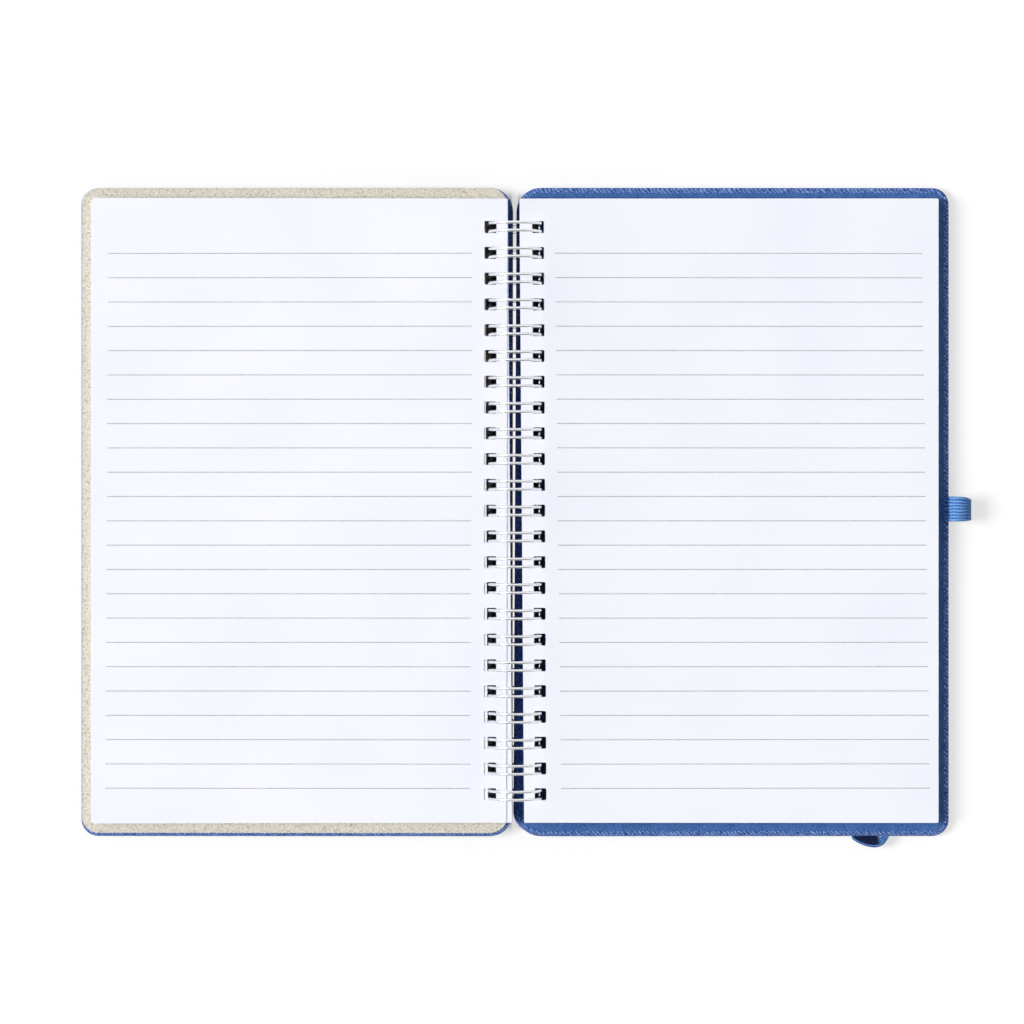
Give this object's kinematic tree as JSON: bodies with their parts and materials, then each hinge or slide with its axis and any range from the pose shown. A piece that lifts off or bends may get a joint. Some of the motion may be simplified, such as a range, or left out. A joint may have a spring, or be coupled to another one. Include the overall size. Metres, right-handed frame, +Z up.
{
  "type": "spiral notebook",
  "caption": "Open A5 notebook: cloth-covered boards and ruled leaves turning on a twin-loop wire, with an elastic pen loop and a closure strap behind the back cover.",
  "frame": {"origin": "bottom centre of the open notebook, on the table that it lies on", "axes": "+X across the open book to the pen loop, +Y along the spine to the top of the page, +Z up"},
  "size_m": [0.2932, 0.2174, 0.0178],
  "materials": {
    "board": "grey board",
    "cover_cloth": "woven blue book cloth",
    "beige_lining": "speckled beige paper",
    "blue_lining": "smooth blue paper",
    "paper": "ruled white writing paper",
    "wire": "bright silver wire",
    "elastic": "ribbed blue elastic"
  },
  "bodies": {
    "back_cover": {"back_cover_board": "board", "back_cover_cloth": "cover_cloth", "back_endpaper": "blue_lining", "twin_loop_wire": "wire", "pen_loop": "elastic", "closure_strap": "elastic"},
    "right_leaves": {"right_leaves": "paper"},
    "front_cover": {"front_cover_board": "board", "front_cover_cloth": "cover_cloth", "front_endpaper": "beige_lining"},
    "left_leaves": {"left_leaves": "paper"}
  },
  "joints": [
    {"name": "right_leaves_turn", "type": "hinge", "parent": "back_cover", "child": "right_leaves", "pos_m": [-0.00367, 0, 0.0089], "axis": [0, -1, 0], "range_deg": [0, 181.8]},
    {"name": "front_cover_close", "type": "hinge", "parent": "back_cover", "child": "front_cover", "pos_m": [-0.00367, 0, 0.0089], "axis": [0, 1, 0], "range_deg": [0, 181.8]},
    {"name": "left_leaves_turn", "type": "hinge", "parent": "front_cover", "child": "left_leaves", "pos_m": [-0.00367, 0, 0.0089], "axis": [0, 1, 0], "range_deg": [0, 178]}
  ]
}
